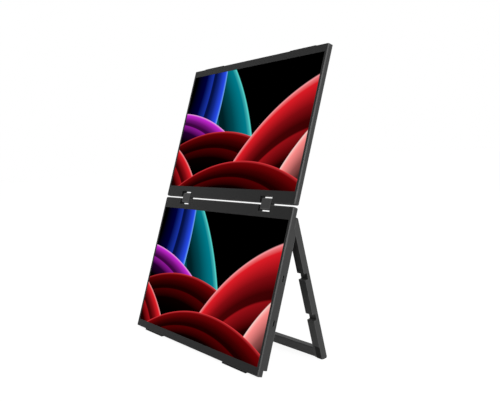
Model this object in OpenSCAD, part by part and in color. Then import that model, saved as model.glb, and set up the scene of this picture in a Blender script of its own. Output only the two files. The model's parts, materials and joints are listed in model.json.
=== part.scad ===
// Two-screen laptop extender: two 15.6 inch displays, one above the other,
// joined by two double-axis hinge blocks, with a folding U-shaped stand on
// the back of the lower display.
//
// Every piece is modelled in the display frame: x to the right, y backwards
// from the front plane of the displays, z up along the lower display from
// its bottom edge. leaned_back() then tips that frame back until the rubber
// feet of the display and of the stand both rest on the plane z = 0.

/* [Screens] */
// Width of one lit area
active_w = 344.16; // [250:0.01:420]
// Height of one lit area
active_h = 193.59; // [150:0.01:240]
// Frame beside the lit area, bevel included
side_border = 4.5; // [4:0.1:12]
// Frame along the edge away from the hinge
outer_border = 11.6; // [8:0.1:25]
// Frame along the hinge edge
hinge_border = 17.8; // [17:0.1:30]
// Air gap between the two displays
display_gap = 2.35; // [2:0.05:4]

/* [Display casing] */
// Thickness of a display
body_t = 8.7; // [8.4:0.1:12]
// Depth of the front bezel, where it meets the rear cover
bezel_t = 2.2; // [1.8:0.1:3]
// Thickness of the bezel in front of the panel edge
lip_t = 0.5; // [0.4:0.1:1]
// Side and top walls of the rear cover
wall = 1.2; // [0.9:0.1:2]
// Back wall of the rear cover
back_wall = 1.4; // [1.2:0.1:2]
// Width of the front bevel, seen from the front
bevel_w = 0.5; // [0.2:0.1:1]
// Bevel of the front edge beside the hinges
hinge_bevel = 1.1; // [0.8:0.1:1.6]
// Rounding of the rear edge beside the hinges
hinge_edge_r = 4; // [2:0.1:4.5]
// Rounding of the other rear edges
rear_edge_r = 2; // [0.5:0.1:3]
// Rounding of the display corners, seen from the front
corner_r = 2; // [1:0.1:6]

/* [Electronics housing] */
// Depth of the thick part of the lower display
housing_t = 14.5; // [13.8:0.1:20]
// Height of the housing's bottom edge
housing_z0 = 8.7; // [5:0.1:30]
// Housing's top edge below the display's top edge
housing_drop = 15.49; // [14:0.01:23]
// Rounding of the housing's edges
housing_r = 2.5; // [1:0.1:4]

/* [Screen stack] */
// Cover of the panel edge by the bezel
panel_overlap = 2; // [1:0.1:2.5]
// Thickness of the light guide
guide_t = 2; // [1.5:0.1:3]
// Thickness of the backlight tray's sheet
sheet_t = 0.6; // [0.4:0.1:1]
// Width of the LED bar
led_bar_w = 1.8; // [1.4:0.1:3]

/* [Display hinges] */
// Distance of each hinge from the middle
hinge_x = 112; // [60:1:130]
// Width of a hinge block
block_w = 23; // [16:0.5:40]
// Height of a hinge block
block_h = 16.8; // [13.8:0.1:18]
// Depth of a hinge block
block_t = 7.3; // [6.6:0.1:7.4]
// Set-back of the block behind the front plane
block_inset = 1.2; // [0.8:0.1:1.4]
// Rounding of the block's long edges
block_r = 2; // [0.5:0.1:2.4]
// Slit beside the block
side_slit = 2.5; // [1:0.1:5]
// Slit above and below the block
end_slit = 2.45; // [2:0.05:5]
// Distance between the two hinge axes
axis_pitch = 9.2; // [8.8:0.1:9.6]
// Depth of the hinge axes behind the front plane
axis_y = 3.7; // [3.4:0.1:3.8]
// Diameter of the hinge shafts
shaft_d = 2.8; // [2:0.1:3]
// Width of a hinge bracket
bracket_w = 7; // [5:0.1:12]
// Height of a hinge bracket
bracket_h = 11; // [8:0.1:12]

/* [Stand] */
// Opening angle of the stand
stand_open = 30; // [20:1:40]
// Width of a leg
leg_w = 15; // [10:0.1:25]
// Thickness of a leg
leg_t = 9.4; // [8:0.1:14]
// Height of a folded leg's lower end
leg_end = 8.8; // [7.5:0.1:35]
// Open leg's root below the housing's top edge
root_drop = 22.4; // [20.5:0.1:23.5]
// Top of the leg's tail below the display's top edge
tail_drop = 12.69; // [12:0.01:15]
// Rounding of the top of the tail
tail_r = 5; // [1:0.1:5.4]
// Height of the foot bar
bar_h = 13.8; // [9:0.1:20]
// Set-back of the foot bar behind the legs' front faces
bar_front = 1; // [0.2:0.1:1.5]
// Air between the leg and the housing
leg_air = 0.3; // [0.2:0.05:0.6]
// Diameter of the stand's hinge pins
pin_d = 4; // [3:0.1:5]
// Depth of the plug notches in the legs
plug_notch_depth = 5; // [3:0.1:5.5]
// Length of the plug notches along the legs
plug_notch_len = 9; // [6:0.1:14]
// Thickness of the stand's hinge ears
ear_w = 5.6; // [4:0.1:8]

/* [Feet] */
// Length of a rubber foot strip
foot_len = 58; // [30:1:90]
// Distance of the foot strips from the middle
foot_x = 118.5; // [60:0.5:130]
// Depth of a foot strip
foot_w = 4; // [3:0.1:4.4]
// Height of a foot strip at its middle
foot_h = 1.4; // [1:0.1:2.5]
// Height of the rubber pad on the leg's lower corner
pad_h = 18.5; // [10:0.1:25]
// Width of the rubber pad
pad_w = 10.5; // [8:0.1:13]
// Thickness of the rubber pad
pad_t = 2.5; // [1.5:0.1:4]

/* [Ports and keys] */
// Height of the upper socket
port_upper_z = 128.7; // [100:0.1:150]
// Height of the lower socket
port_lower_z = 70.2; // [50:0.1:90]
// Depth of the sockets' middle behind the front plane
port_y = 7.6; // [7.2:0.1:8.4]
// Height of the power key
key_z = 132; // [60:1:150]
// Spacing of the three keys
key_pitch = 13; // [11:0.5:20]
// Length of a key
key_len = 8; // [5:0.1:9]
// Travel of a key
key_travel = 0.4; // [0.2:0.05:0.8]

/* [Hidden] */

$fn = 48;
eps = 0.01;             // overlap of cutting shapes
far = 1000;             // larger than the object
fit = 0.02;             // radial air of a fixed shaft
running = 0.05;         // radial air of a turning shaft

// colours
frame_grey = [0.20, 0.20, 0.205];
cover_grey = [0.30, 0.30, 0.305];
rubber_black = [0.07, 0.07, 0.07];
steel = [0.62, 0.62, 0.64];
board_green = [0.05, 0.24, 0.14];
panel_black = [0.03, 0.03, 0.04];
guide_white = [0.90, 0.92, 0.95];
led_yellow = [0.90, 0.85, 0.50];

// displays
display_w = active_w + 2 * side_border;
display_h = outer_border + active_h + hinge_border;
half_w = display_w / 2;
hinge_z = display_h + display_gap / 2;      // middle of the gap
active_z0 = outer_border;
panel_y1 = bezel_t;                         // back of the panel
guide_y1 = bezel_t + guide_t;
guide_x = active_w / 2 + 1;
guide_z1 = active_z0 + active_h + 1;
tray_y1 = guide_y1 + sheet_t;
inner_back = body_t - back_wall;
housing_z1 = display_h - housing_drop;
housing_inner = housing_t - back_wall;
led_count = 24;
led_w = 3;
seat_air = 0.1;                             // round what is laid in or screwed down

// driver board of the upper display
driver_w = 140;
driver_h = 9;
driver_t = 1;
driver_chips = 7;
driver_chip_w = 6;
driver_chip_h = 5;
driver_z = guide_z1 + sheet_t + 0.6;

// hinges
notch_w = block_w + 2 * side_slit;
notch_depth = block_h / 2 + end_slit - display_gap / 2;
notch_z0 = display_h - notch_depth;
shaft_z = hinge_z - axis_pitch / 2;
shaft_reach = notch_w / 2 + wall + bracket_w;
bracket_x = notch_w / 2 + wall;
bracket_y0 = bezel_t + seat_air;
bracket_z1 = display_h - wall - seat_air;
cover_screw_r = 1;
cover_head_r = 1.8;
cover_head_t = 0.7;
cover_screw_z = bracket_z1 - bracket_h + 2.4;
cover_screw_len = 3.4;
hex_depth = 0.5;                            // of the drive in a screw's head

// stand
root_z = housing_z1 - root_drop;
tail_top = display_h - tail_drop;
leg_len = root_z - leg_end;
pivot_air = leg_t / 2 + leg_air;
pivot_y = housing_t + pivot_air;
pivot_z = root_z + pivot_air * tan(stand_open / 2);
leg_root = leg_t / 2 * tan(stand_open / 2); // along the leg, above the pivot
leg_s0 = leg_root - leg_len;                // bottom of the leg
leg_x = half_w - leg_w;                     // inner face of a leg
pad_lip = 0.9;                              // rubber below the leg's end
pad_facet = 0.7;                            // corner cut off by the floor plane
pad_sole = leg_t - 0.5;                     // depth of the rubber under the leg
tail_air = 0.2;                             // between the tail and the display's back
plug_notch_r = 1.5;
pin_depth = 10;                             // of a pin in its leg
pin_reach = leg_x + pin_depth;
ear_x1 = leg_x - 0.4;
ear_x0 = ear_x1 - ear_w;
ear_flange = 9;
ear_flange_t = 1.6;
ear_flange_h = 22;
ear_screw_z = 7.5;
ear_screw_r = 1.25;
ear_head_r = 2.3;
ear_head_t = 0.9;
ear_screw_len = 4.2;
ear_hole_depth = ear_screw_len - ear_flange_t + 0.6;
ear_boss_h = ear_hole_depth + 1.4;          // from the housing's outer face
boss_r = 2.6;
tongue_len = 8;
tongue_t = 5;
tongue_h = 8.2;
tongue_y = 1;                               // its middle behind the leg's middle
leg_screw_r = 1.1;
leg_head_r = 1.9;
leg_head_t = 0.9;
leg_screw_x = leg_x + tongue_len / 2;
leg_screw_pitch = 4.4;
leg_screw_len = leg_t - 3.2;                // both end behind the rubber pad
leg_hole_len = leg_t - 2.7;
bar_s = leg_s0 + pad_lip;
bar_mid = bar_s + bar_h / 2;
bar_step = 0.5;                             // bar's rear face in front of the legs'

// feet
foot_front = 2.1;
foot_y = foot_front + foot_w / 2;

// ports and board
port_len = 8.9;
port_t = 3.2;
port_depth = 7.5;
port_shell = 0.3;
board_t = 1.2;
board_w = 52;
board_h = 92;
board_x1 = half_w - wall - 0.6;
board_y0 = port_y + port_t / 2;
board_z = (port_upper_z + port_lower_z) / 2;
board_back = board_y0 + board_t;
board_boss_h = housing_inner - board_back;
board_screw_x = 5;
board_screw_z = 6;
board_screw_r = 1;
board_head_r = 1.9;
board_head_t = 0.8;
socket_zone = 13;                           // edge of the board kept for the sockets
scaler = [16, 1.1, 16];
power_chip = [6, 1.3, 7];
power_chip_pitch = 52;
capacitor = [2, 1, 3.2];
capacitor_count = 6;
capacitor_pitch = 6;

// keys
key_t = 2.2;
key_y = (bezel_t + body_t) / 2 + 1.2;
key_air = 0.15;
key_flange = 1.2;
key_flange_t = 0.8;
key_lip = 0.4;                              // of the flange beside the cap
key_seat = 0.05;                            // air behind the side wall
key_stem = 1;
key_stem_r = 0.8;
switch_x = -half_w + wall + key_flange_t + key_stem + key_travel + key_seat;
switch_t = 2;
switch_w = 2.2;
switch_len = 4.4;
key_board_t = 1;
key_board_end = 8;                          // beyond the outer keys

// lean: both contacts at the same height
contact_z = root_z - leg_len * cos(stand_open);
contact_y = housing_t + leg_len * sin(stand_open);
rise = contact_z + foot_h;
reach = contact_y - foot_y;
lean = 90 + asin(pad_facet / norm([rise, reach])) - atan2(reach, rise);
floor_drop = foot_h * cos(lean) + foot_y * sin(lean);
top_z = 2 * hinge_z;
front_y = bevel_w * sin(lean);
rear_y = (body_t - rear_edge_r) * cos(lean) + (top_z - rear_edge_r) * sin(lean) + rear_edge_r;

// ---------- placing ----------

// tips the display frame back and sets it on z = 0, with its middle over the origin
module leaned_back() {
    translate([0, -(front_y + rear_y) / 2, floor_drop])
        rotate([-lean, 0, 0])
            children();
}

// the upper display is the lower one mirrored about the middle of the gap
module upper() {
    translate([0, 0, top_z])
        mirror([0, 0, 1])
            children();
}

module both_sides() {
    for (side = [0, 1])
        mirror([side, 0, 0])
            children();
}

// frame of a leg: origin on the pivot, z up along the leg, y to its rear face
module leg_frame() {
    translate([0, pivot_y, pivot_z])
        rotate([stand_open, 0, 0])
            children();
}

// box of a size about a middle, standing on its y
module chip(mid, y0, size) {
    box([mid[0] - size[0] / 2, mid[0] + size[0] / 2], [y0 - size[1], y0 + eps],
        [mid[1] - size[2] / 2, mid[1] + size[2] / 2]);
}

// a (y, z) outline run along x from x0 to x1
module along_x(x0, x1) {
    translate([x0, 0, 0])
        rotate([90, 0, 90])
            linear_extrude(x1 - x0)
                children();
}

module box(x, y, z) {
    translate([x[0], y[0], z[0]])
        cube([x[1] - x[0], y[1] - y[0], z[1] - z[0]]);
}

// ---------- outlines ----------

// what rounding takes off a square corner at the origin that fills x > 0, y > 0
module corner_waste(r) {
    difference() {
        translate([-eps, -eps])
            square(r + eps);
        translate([r, r])
            circle(r);
    }
}

// rectangle with its own rounding at each corner: [x0 y0, x1 y0, x0 y1, x1 y1]
module rounded_rect(x, y, r) {
    difference() {
        translate([x[0], y[0]])
            square([x[1] - x[0], y[1] - y[0]]);
        for (i = [0, 1], j = [0, 1])
            if (r[i + 2 * j] > 0)
                translate([x[i], y[j]])
                    mirror([i, 0])
                        mirror([0, j])
                            corner_waste(r[i + 2 * j]);
    }
}

// side outline of one display in (y, z): bevelled in front, rounded behind
module display_side(inset, y1) {
    r_hinge = max(hinge_edge_r - inset, 0.5);
    r_outer = max(rear_edge_r - inset, 0.5);
    difference() {
        rounded_rect([0, y1], [inset, display_h - inset], [0, r_outer, 0, r_hinge]);
        polygon([[-1, -1], [-eps, bevel_w], [0, bevel_w], [bezel_t, 0], [bezel_t, -1]]);
        polygon([
            [-1, display_h + 1], [-1, display_h - hinge_bevel], [0, display_h - hinge_bevel],
            [hinge_bevel, display_h], [hinge_bevel, display_h + 1]
        ]);
    }
}

// plan outline of one display in (x, y)
module display_plan(inset, y1) {
    r = max(rear_edge_r - inset, 0.5);
    difference() {
        rounded_rect([inset - half_w, half_w - inset], [0, y1], [0, 0, r, r]);
        both_sides()
            polygon([[half_w + 1, -1], [half_w - bevel_w, -1], [half_w - bevel_w, 0],
                     [half_w, bezel_t], [half_w + 1, bezel_t]]);
    }
}

// solid of one display, drawn in by inset, from the front plane back to y1
module display_solid(inset, y1) {
    r = max(corner_r - inset, 0.5);
    intersection() {
        along_x(-far / 2, far / 2)
            display_side(inset, y1);
        linear_extrude(far / 2)
            display_plan(inset, y1);
        translate([0, far / 2, 0])
            rotate([90, 0, 0])
                linear_extrude(far)
                    rounded_rect([inset - half_w, half_w - inset],
                                 [inset, display_h - inset], [r, r, r, r]);
    }
}

// the two hinge notches, grown by a wall thickness
module hinge_notches(grow) {
    for (side = [-1, 1])
        box([side * hinge_x - notch_w / 2 - grow, side * hinge_x + notch_w / 2 + grow],
            [-1, far], [notch_z0 - grow, far]);
}

module shaft_holes(r, reach) {
    for (side = [-1, 1])
        translate([side * hinge_x - reach, axis_y, shaft_z])
            rotate([0, 90, 0])
                cylinder(r = r, h = 2 * reach);
}

// ---------- one display ----------

module bezel() {
    panel_x = active_w / 2 + panel_overlap;
    difference() {
        intersection() {
            display_solid(0, body_t);
            box([-far, far], [-1, bezel_t], [-1, far]);
        }
        hinge_notches(0);
        box([-active_w / 2, active_w / 2], [-1, far], [active_z0, active_z0 + active_h]);
        box([-panel_x, panel_x], [lip_t, far],
            [active_z0 - panel_overlap, active_z0 + active_h + panel_overlap]);
    }
}

module panel() {
    edge = panel_overlap - seat_air;
    box([-active_w / 2 - edge, active_w / 2 + edge], [lip_t, panel_y1],
        [active_z0 - edge, active_z0 + active_h + edge]);
}

module light_guide() {
    box([-guide_x, guide_x], [panel_y1, guide_y1], [active_z0, guide_z1]);
}

// strip of LEDs below the light guide
module led_bar() {
    led_pitch = active_w / led_count;
    box([-guide_x, guide_x], [panel_y1, guide_y1 - 0.4],
        [active_z0 - led_bar_w, active_z0 - led_bar_w / 2]);
    for (i = [0 : led_count - 1])
        translate([(i - (led_count - 1) / 2) * led_pitch, 0, 0])
            box([-led_w / 2, led_w / 2], [panel_y1 + 0.2, guide_y1 - 0.6],
                [active_z0 - led_bar_w / 2 - eps, active_z0]);
}

// folded sheet tray that holds the light guide and the LED bar
module tray() {
    tray_x = guide_x + seat_air;
    z0 = active_z0 - led_bar_w - seat_air;
    z1 = guide_z1 + seat_air;
    difference() {
        box([-tray_x - sheet_t, tray_x + sheet_t], [panel_y1, tray_y1], [z0 - sheet_t, z1 + sheet_t]);
        box([-tray_x, tray_x], [-1, guide_y1], [z0, z1]);
    }
}

// all that is cut from a rear cover, of either display
module cover_cuts() {
    box([-far, far], [-1, bezel_t], [-1, far]);
    difference() {
        display_solid(wall, inner_back);
        hinge_notches(wall);
    }
    hinge_notches(0);
    shaft_holes(shaft_d / 2 + 0.2, shaft_reach);
    cover_screw_places()
        cover_screw_hole();
}

module upper_rear_cover() {
    difference() {
        display_solid(0, body_t);
        cover_cuts();
    }
}

module cover_screw_places() {
    for (side = [-1, 1], end = [-1, 1])
        translate([side * hinge_x + end * (bracket_x + bracket_w / 2), body_t, cover_screw_z])
            rotate([90, 0, 0])
                children();
}

module cover_screw_hole() {
    translate([0, 0, -eps])
        cylinder(r = cover_head_r + seat_air, h = cover_head_t + seat_air + eps);
    cylinder(r = cover_screw_r + seat_air, h = far / 2);
}

// screw with its head on z = 0 and its thread up to head_t + len
module screw(head_r, head_t, r, len) {
    difference() {
        cylinder(r = head_r, h = head_t);
        translate([0, 0, -eps])
            cylinder(r = head_r * 0.42, h = hex_depth, $fn = 6);
    }
    translate([0, 0, head_t - eps])
        cylinder(r = r, h = len);
}

module cover_screws() {
    cover_screw_places()
        translate([0, 0, seat_air])
            screw(cover_head_r, cover_head_t, cover_screw_r, cover_screw_len);
}

// steel blocks beside each notch that hold the shafts
module hinge_brackets() {
    difference() {
        intersection() {
            for (side = [-1, 1], end = [-1, 1])
                translate([side * hinge_x + end * (bracket_x + bracket_w / 2), 0, 0])
                    box([-bracket_w / 2 + seat_air, bracket_w / 2 - seat_air],
                        [bracket_y0, inner_back], [bracket_z1 - bracket_h, bracket_z1]);
            // follows the rounded inside of the cover
            along_x(-half_w, half_w)
                display_side(wall + seat_air, inner_back);
        }
        shaft_holes(shaft_d / 2 + fit, shaft_reach);
        cover_screw_places()
            cylinder(r = cover_screw_r + fit, h = back_wall + cover_screw_len);
    }
}

module hinge_shafts() {
    shaft_holes(shaft_d / 2, shaft_reach - 0.5);
}

// ---------- lower display ----------

module housing_side(inset, y1) {
    r = max(housing_r - inset, 0.5);
    rounded_rect([0, y1], [housing_z0 + inset, housing_z1 - inset], [0, r, 0, r]);
}

module housing_plan(inset, y1) {
    r = max(rear_edge_r - inset, 0.5);
    rounded_rect([inset - half_w, half_w - inset], [0, y1], [0, 0, r, r]);
}

// where the tail of a leg sinks into the housing, with its air, grown by a wall
module tail_pocket(grow) {
    both_sides()
        intersection() {
            leg_frame()
                box([leg_x - 0.3 - grow, far], [-leg_t / 2 - leg_air - grow, far], [-far, far]);
            box([leg_x - 0.3 - grow, far], [body_t - grow, far], [root_z - far / 4, far]);
        }
}

module housing_solid(inset, y1) {
    difference() {
        intersection() {
            along_x(-far / 2, far / 2)
                housing_side(inset, y1);
            linear_extrude(far / 2)
                housing_plan(inset, y1);
        }
        tail_pocket(inset);
    }
}

module lower_rear_cover() {
    difference() {
        union() {
            display_solid(0, body_t);
            housing_solid(0, housing_t);
        }
        cover_cuts();
        housing_hollow();
        ear_screw_places()
            translate([0, 0, -1])
                cylinder(r = ear_screw_r + fit, h = 1 + ear_hole_depth);
        board_screw_places()
            translate([0, 0, -1])
                cylinder(r = board_screw_r + fit, h = 1 + board_boss_h);
        for (z = [port_upper_z, port_lower_z])
            port_hole(z);
        for (i = [0 : 2])
            key_hole(i);
    }
}

// inside of the housing, with the screw bosses left standing
module housing_hollow() {
    difference() {
        housing_solid(wall, housing_inner);
        ear_screw_places()
            cylinder(r = boss_r, h = ear_boss_h);
        board_screw_places()
            cylinder(r = boss_r, h = board_boss_h + eps);
    }
}

// screw axes on the board, pointing back from the board's rear face
module board_screw_places() {
    for (x = [board_x1 - board_w + board_screw_x, board_x1 - socket_zone - board_screw_x],
         z = [board_z - board_h / 2 + board_screw_z, board_z + board_h / 2 - board_screw_z])
        translate([x, board_back, z])
            rotate([-90, 0, 0])
                children();
}

module main_board() {
    difference() {
        union() {
            box([board_x1 - board_w, board_x1], [board_y0, board_back],
                [board_z - board_h / 2, board_z + board_h / 2]);
            // scaler chip, two power chips and a row of capacitors
            chip([board_x1 - board_w * 0.6, board_z], board_y0, scaler);
            for (end = [-1, 1])
                chip([board_x1 - board_w / 2, board_z + end * power_chip_pitch / 2], board_y0,
                     power_chip);
            for (i = [0 : capacitor_count - 1])
                chip([board_x1 - board_w * 0.83,
                      board_z + (i - (capacitor_count - 1) / 2) * capacitor_pitch],
                     board_y0, capacitor);
        }
        board_screw_places()
            translate([0, 0, -board_t - 1])
                cylinder(r = board_screw_r + seat_air, h = board_t + 2);
    }
}

module board_screws() {
    board_screw_places()
        translate([0, 0, -board_t - board_head_t])
            screw(board_head_r, board_head_t, board_screw_r, board_t + 1.2);
}

// rounded slot outline along z
module slot_outline(len, t) {
    square([t, len - t], center = true);
    for (end = [-1, 1])
        translate([0, end * (len - t) / 2])
            circle(t / 2);
}

module port_hole(z) {
    translate([0, port_y, z])
        along_x(half_w - wall - 1, half_w + 1)
            slot_outline(port_len + seat_air, port_t + seat_air);
}

module usb_c_sockets() {
    for (z = [port_upper_z, port_lower_z])
        translate([0, port_y, z]) {
            difference() {
                along_x(half_w - port_depth, half_w - 0.2)
                    slot_outline(port_len, port_t);
                along_x(half_w - port_depth + 1, half_w)
                    slot_outline(port_len - 2 * port_shell, port_t - 2 * port_shell);
            }
            // contact tongue
            box([half_w - port_depth + 1 - eps, half_w - 1.2], [-0.35, 0.35], [-3.3, 3.3]);
        }
}

function key_mid(i) = key_z - i * key_pitch;

// one key: cap in the side wall, flange behind it and a stem to the switch
module key(i) {
    translate([0, key_y, key_mid(i)]) {
        along_x(-half_w, -half_w + wall + key_travel)
            slot_outline(key_len, key_t);
        box([-half_w + wall + key_seat, -half_w + wall + key_seat + key_flange_t],
            [-key_t / 2 - key_lip, key_t / 2 + key_lip],
            [-key_len / 2 - key_flange, key_len / 2 + key_flange]);
        translate([-half_w + wall + key_flange_t, 0, 0])
            rotate([0, 90, 0])
                cylinder(r = key_stem_r, h = key_stem);
    }
}

module key_hole(i) {
    translate([0, key_y, key_mid(i)])
        along_x(-half_w - 1, -half_w + wall + 1)
            slot_outline(key_len + 2 * key_air, key_t + 2 * key_air);
}

// small board with three switches behind the keys
module key_board() {
    for (i = [0 : 2])
        translate([0, key_y, key_mid(i)])
            box([switch_x, switch_x + switch_t + eps], [-switch_w / 2, switch_w / 2],
                [-switch_len / 2, switch_len / 2]);
    box([switch_x + switch_t, switch_x + switch_t + key_board_t], [tray_y1 + 0.3, housing_inner],
        [key_mid(2) - key_board_end, key_mid(0) + key_board_end]);
}

// ---------- hinge blocks ----------

module hinge_block(side) {
    difference() {
        along_x(side * hinge_x - block_w / 2, side * hinge_x + block_w / 2)
            rounded_rect([block_inset, block_inset + block_t],
                         [hinge_z - block_h / 2, hinge_z + block_h / 2],
                         [block_r, block_r, block_r, block_r]);
        for (end = [-1, 1])
            translate([side * hinge_x - block_w, axis_y, hinge_z + end * axis_pitch / 2])
                rotate([0, 90, 0])
                    cylinder(r = shaft_d / 2 + running, h = 2 * block_w);
    }
}

// ---------- upper display ----------

// strip board between the hinges that drives the upper panel
module driver_board() {
    y0 = inner_back - driver_t;
    box([-driver_w / 2, driver_w / 2], [y0, inner_back], [driver_z, driver_z + driver_h]);
    for (i = [0 : driver_chips - 1])
        chip([(i - (driver_chips - 1) / 2) * driver_w / (driver_chips + 1), driver_z + driver_h / 2],
             y0, [driver_chip_w, driver_t, driver_chip_h]);
}

// ---------- feet ----------

// strip whose lower face lies in the floor plane when the display leans back
module sloped_foot() {
    drop = foot_w / 2 * tan(lean);
    along_x(-foot_len / 2, foot_len / 2)
        polygon([
            [foot_y - foot_w / 2, 0], [foot_y + foot_w / 2, 0],
            [foot_y + foot_w / 2, drop - foot_h], [foot_y - foot_w / 2, -drop - foot_h]
        ]);
}

module square_foot() {
    box([-foot_len / 2, foot_len / 2], [foot_y - foot_w / 2, foot_y + foot_w / 2], [-foot_h, 0]);
}

module at_feet() {
    for (side = [-1, 1])
        translate([side * foot_x, 0, 0])
            children();
}

// ---------- stand ----------

// side outline of a leg in (y, z) of the leg frame
module leg_outline() {
    half = leg_t / 2;
    height = tail_top - pivot_z;
    mid_y = half - tail_r;
    mid_z = (height - tail_r - mid_y * sin(stand_open)) / cos(stand_open);
    difference() {
        translate([-half, bar_s])
            square([leg_t, far / 4]);
        // the tail stops at the back of the display and at its own top
        rotate(stand_open * -1)
            translate([-far, -far / 2])
                square([far + body_t + tail_air - pivot_y, far]);
        rotate(stand_open * -1)
            translate([-far / 2, height])
                square(far);
        difference() {
            polygon([
                [half + eps, mid_z], [half + eps, (height - half * sin(stand_open)) / cos(stand_open) + 1],
                [mid_y + (tail_r + 1) * sin(stand_open), mid_z + (tail_r + 1) * cos(stand_open)],
                [mid_y, mid_z]
            ]);
            translate([mid_y, mid_z])
                circle(tail_r);
        }
        for (s = [root_z - port_upper_z, root_z - port_lower_z])
            translate([-half, leg_root - s])
                plug_notch();
    }
}

module plug_notch() {
    straight = plug_notch_len / 2 - plug_notch_r;
    translate([-1, -plug_notch_len / 2])
        square([1 + plug_notch_depth - plug_notch_r, plug_notch_len]);
    translate([-1, -straight])
        square([1 + plug_notch_depth, 2 * straight]);
    for (end = [-1, 1])
        translate([plug_notch_depth - plug_notch_r, end * straight])
            circle(plug_notch_r);
}

// socket in the leg for the bar's tongue
module tongue(air) {
    half = [tongue_t / 2 + air, tongue_h / 2 + air];
    box([leg_x - 1, leg_x + tongue_len + air], [tongue_y - half[0], tongue_y + half[0]],
        [bar_mid - half[1], bar_mid + half[1]]);
}

module leg_screw_places() {
    for (end = [-1, 1])
        translate([leg_screw_x, leg_t / 2, bar_mid + end * leg_screw_pitch / 2])
            rotate([90, 0, 0])
                children();
}

// right-hand leg; the left one is its mirror image
module leg() {
    leg_frame()
        difference() {
            along_x(leg_x, half_w)
                leg_outline();
            rotate([0, 90, 0])
                cylinder(r = pin_d / 2 + running, h = pin_reach + seat_air);
            tongue(seat_air);
            pad_cap(fit, 1);
            leg_screw_places() {
                translate([0, 0, -eps])
                    cylinder(r = leg_head_r + seat_air, h = leg_head_t + seat_air + eps);
                cylinder(r = leg_screw_r + fit, h = leg_hole_len);
            }
        }
}

// rubber on the leg's lower front corner, grown by air and reaching over the outside
module pad_cap(air, over) {
    box([half_w - pad_w - air, half_w + over], [-leg_t / 2 - over, -leg_t / 2 + pad_t + air],
        [leg_s0, leg_s0 + pad_h + air]);
}

// corner pad with its sole under the leg, cut flat by the floor plane
module leg_pad() {
    intersection() {
        leg_frame() {
            pad_cap(0, 0);
            box([half_w - pad_w, half_w], [-leg_t / 2, pad_sole - leg_t / 2], [leg_s0, bar_s]);
        }
        above_floor();
    }
}

// everything above the floor plane, in the display frame
module above_floor() {
    rotate([lean, 0, 0])
        translate([-far / 2, -far / 2, -floor_drop])
            cube(far);
}

module leg_screws() {
    leg_frame()
        leg_screw_places()
            translate([0, 0, seat_air])
                screw(leg_head_r, leg_head_t, leg_screw_r, leg_screw_len - leg_head_t - seat_air);
}

module foot_bar() {
    leg_frame()
        difference() {
            union() {
                box([-leg_x, leg_x], [bar_front - leg_t / 2, leg_t / 2 - bar_step], [bar_s, bar_s + bar_h]);
                both_sides()
                    tongue(0);
            }
            both_sides()
                leg_screw_places()
                    cylinder(r = leg_screw_r + fit, h = leg_hole_len);
        }
}

// screw axes of an ear, pointing forwards into the housing
module ear_screw_places() {
    both_sides()
        for (end = [-1, 1])
            translate([ear_x0 - ear_flange / 2, housing_t, pivot_z + end * ear_screw_z])
                rotate([90, 0, 0])
                    children();
}

// right-hand ear: a cheek round the pin on a screwed flange
module ear() {
    difference() {
        union() {
            box([ear_x0 - ear_flange, ear_x1], [housing_t, housing_t + ear_flange_t],
                [pivot_z - ear_flange_h / 2, pivot_z + ear_flange_h / 2]);
            box([ear_x0, ear_x1], [housing_t, pivot_y], [pivot_z - leg_t / 2, pivot_z + leg_t / 2]);
            translate([ear_x0, pivot_y, pivot_z])
                rotate([0, 90, 0])
                    cylinder(r = leg_t / 2, h = ear_w);
        }
        translate([ear_x0 - 1, pivot_y, pivot_z])
            rotate([0, 90, 0])
                cylinder(r = pin_d / 2 + fit, h = ear_w + 2);
        for (end = [-1, 1])
            translate([ear_x0 - ear_flange / 2, housing_t + ear_flange_t, pivot_z + end * ear_screw_z])
                rotate([90, 0, 0]) {
                    translate([0, 0, -eps])
                        cylinder(r = ear_head_r + seat_air, h = ear_head_t + seat_air + eps);
                    cylinder(r = ear_screw_r + seat_air, h = ear_flange_t + 1);
                }
    }
}

module ear_screws() {
    ear_screw_places()
        translate([0, 0, seat_air - ear_flange_t])
            screw(ear_head_r, ear_head_t, ear_screw_r, ear_screw_len - ear_head_t - seat_air);
}

module stand_pins() {
    both_sides()
        translate([ear_x0, pivot_y, pivot_z])
            rotate([0, 90, 0])
                cylinder(r = pin_d / 2, h = pin_reach - ear_x0);
}

// ---------- nodes ----------

leaned_back() color(frame_grey) bezel();  // lower_bezel
leaned_back() color(panel_black) panel();  // lower_panel
leaned_back() color(guide_white) light_guide();  // lower_light_guide
leaned_back() color(led_yellow) led_bar();  // lower_led_bar
leaned_back() color(steel) tray();  // lower_tray
leaned_back() color(cover_grey) lower_rear_cover();
leaned_back() color(board_green) main_board();
leaned_back() color(steel) usb_c_sockets();
leaned_back() color(steel) board_screws();
leaned_back() color(board_green) key_board();
leaned_back() color(steel) hinge_brackets();  // lower_hinge_brackets
leaned_back() color(steel) hinge_shafts();  // lower_hinge_shafts
leaned_back() color(frame_grey) cover_screws();  // lower_cover_screws
leaned_back() color(rubber_black) at_feet() sloped_foot();  // lower_feet
leaned_back() color(frame_grey) key(0);  // power_key
leaned_back() color(frame_grey) key(1);  // brighter_key
leaned_back() color(frame_grey) key(2);  // dimmer_key
leaned_back() color(cover_grey) mirror([1, 0, 0]) ear();  // stand_ear_left
leaned_back() color(cover_grey) ear();  // stand_ear_right
leaned_back() color(steel) ear_screws();  // stand_ear_screws
leaned_back() color(steel) stand_pins();
leaned_back() color(cover_grey) hinge_block(-1);  // hinge_block_left
leaned_back() color(cover_grey) hinge_block(1);  // hinge_block_right
leaned_back() upper() color(frame_grey) bezel();  // upper_bezel
leaned_back() upper() color(panel_black) panel();  // upper_panel
leaned_back() upper() color(guide_white) light_guide();  // upper_light_guide
leaned_back() upper() color(led_yellow) led_bar();  // upper_led_bar
leaned_back() upper() color(steel) tray();  // upper_tray
leaned_back() upper() color(cover_grey) upper_rear_cover();
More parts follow.
